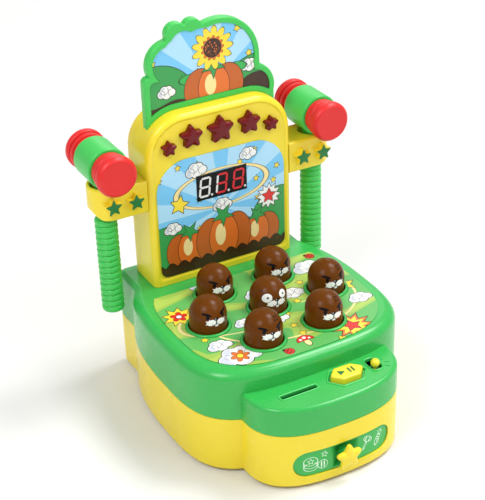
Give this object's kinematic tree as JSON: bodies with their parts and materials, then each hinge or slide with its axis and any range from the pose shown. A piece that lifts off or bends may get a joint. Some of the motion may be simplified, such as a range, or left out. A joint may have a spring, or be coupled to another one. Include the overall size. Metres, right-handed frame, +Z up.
{
  "type": "mole pounding game",
  "caption": "Table-top mole pounding game: sprung moles on a rounded base, a score tower with star lamps and a picture sign, hammers in side arms and a coin drawer.",
  "frame": {"origin": "centre of the bounding box on the table, under the middle of the base", "axes": "+X to the player's right, +Y from the player towards the tower, +Z up"},
  "size_m": [0.271, 0.2988, 0.3722],
  "materials": {
    "green_plastic": "glossy moulded",
    "light_green_plastic": "glossy moulded",
    "dark_green_plastic": "glossy moulded",
    "yellow_plastic": "glossy moulded",
    "brown_plastic": "polished, with a printed face",
    "red_plastic": "satin moulded",
    "lens_plastic": "dark translucent lens",
    "display_plastic": "dark window with lit digits",
    "playfield_print": "printed sheet",
    "panel_print": "printed sheet",
    "board": "solder mask",
    "battery_shell": "printed sleeve",
    "speaker_body": "matt",
    "steel": "bright wire",
    "rubber": "matt"
  },
  "bodies": {
    "base": {"upper_shell": "green_plastic", "sign_frame": "light_green_plastic", "coin_chute": "light_green_plastic", "left_arm_star_near": "dark_green_plastic", "left_arm_star_far": "dark_green_plastic", "right_arm_star_near": "dark_green_plastic", "right_arm_star_far": "dark_green_plastic", "lower_shell": "yellow_plastic", "battery_door": "yellow_plastic", "tower_front_shell": "yellow_plastic", "tower_back_shell": "yellow_plastic", "left_arm": "yellow_plastic", "right_arm": "yellow_plastic", "star_lens_outer_left": "lens_plastic", "star_lens_inner_left": "lens_plastic", "star_lens_centre": "lens_plastic", "star_lens_inner_right": "lens_plastic", "star_lens_outer_right": "lens_plastic", "score_display": "display_plastic", "playfield_decal": "playfield_print", "score_panel_decal": "panel_print", "sign_picture": "panel_print", "switch_board": "board", "control_board": "board", "main_board": "board", "battery_left": "battery_shell", "battery_middle": "battery_shell", "battery_right": "battery_shell", "speaker": "speaker_body", "spring_back_left": "steel", "spring_back_right": "steel", "spring_middle_left": "steel", "spring_centre": "steel", "spring_middle_right": "steel", "spring_front_left": "steel", "spring_front_right": "steel", "battery_door_screw": "steel", "foot_front_left": "rubber", "foot_front_right": "rubber", "foot_rear_left": "rubber", "foot_rear_right": "rubber"},
    "mole_back_left": {"mole_back_left": "brown_plastic"},
    "mole_back_right": {"mole_back_right": "brown_plastic"},
    "mole_middle_left": {"mole_middle_left": "brown_plastic"},
    "mole_centre": {"mole_centre": "brown_plastic"},
    "mole_middle_right": {"mole_middle_right": "brown_plastic"},
    "mole_front_left": {"mole_front_left": "brown_plastic"},
    "mole_front_right": {"mole_front_right": "brown_plastic"},
    "play_button": {"play_button": "yellow_plastic"},
    "power_knob": {"power_knob": "yellow_plastic"},
    "coin_drawer": {"drawer_front": "green_plastic", "drawer_tray": "yellow_plastic", "star_pull": "yellow_plastic"},
    "left_hammer": {"left_hammer_handle": "light_green_plastic", "left_hammer_front_cap": "red_plastic", "left_hammer_back_cap": "red_plastic"},
    "right_hammer": {"right_hammer_handle": "light_green_plastic", "right_hammer_front_cap": "red_plastic", "right_hammer_back_cap": "red_plastic"}
  },
  "joints": [
    {"name": "mole_back_left_press", "type": "slide", "parent": "base", "child": "mole_back_left", "axis": [0, 0, -1], "range_m": [0, 0.008], "stiffness_N_per_m": 200, "springref_m": -0.004, "deforming": ["spring_back_left"]},
    {"name": "mole_back_right_press", "type": "slide", "parent": "base", "child": "mole_back_right", "axis": [0, 0, -1], "range_m": [0, 0.008], "stiffness_N_per_m": 200, "springref_m": -0.004, "deforming": ["spring_back_right"]},
    {"name": "mole_middle_left_press", "type": "slide", "parent": "base", "child": "mole_middle_left", "axis": [0, 0, -1], "range_m": [0, 0.008], "stiffness_N_per_m": 200, "springref_m": -0.004, "deforming": ["spring_middle_left"]},
    {"name": "mole_centre_press", "type": "slide", "parent": "base", "child": "mole_centre", "axis": [0, 0, -1], "range_m": [0, 0.008], "stiffness_N_per_m": 200, "springref_m": -0.004, "deforming": ["spring_centre"]},
    {"name": "mole_middle_right_press", "type": "slide", "parent": "base", "child": "mole_middle_right", "axis": [0, 0, -1], "range_m": [0, 0.008], "stiffness_N_per_m": 200, "springref_m": -0.004, "deforming": ["spring_middle_right"]},
    {"name": "mole_front_left_press", "type": "slide", "parent": "base", "child": "mole_front_left", "axis": [0, 0, -1], "range_m": [0, 0.008], "stiffness_N_per_m": 200, "springref_m": -0.004, "deforming": ["spring_front_left"]},
    {"name": "mole_front_right_press", "type": "slide", "parent": "base", "child": "mole_front_right", "axis": [0, 0, -1], "range_m": [0, 0.008], "stiffness_N_per_m": 200, "springref_m": -0.004, "deforming": ["spring_front_right"]},
    {"name": "play_button_press", "type": "slide", "parent": "base", "child": "play_button", "axis": [0, 0, -1], "range_m": [0, 0.002], "stiffness_N_per_m": 300, "springref_m": -0.002},
    {"name": "power_knob_slide", "type": "slide", "parent": "base", "child": "power_knob", "axis": [0, 1, 0], "range_m": [0, 0.006]},
    {"name": "coin_drawer_slide", "type": "slide", "parent": "base", "child": "coin_drawer", "axis": [0, -1, 0], "range_m": [0, 0.04]},
    {"name": "left_hammer_lift", "type": "slide", "parent": "base", "child": "left_hammer", "axis": [0, 0, 1], "range_m": [0, 0.145]},
    {"name": "right_hammer_lift", "type": "slide", "parent": "base", "child": "right_hammer", "axis": [0, 0, 1], "range_m": [0, 0.145]}
  ]
}
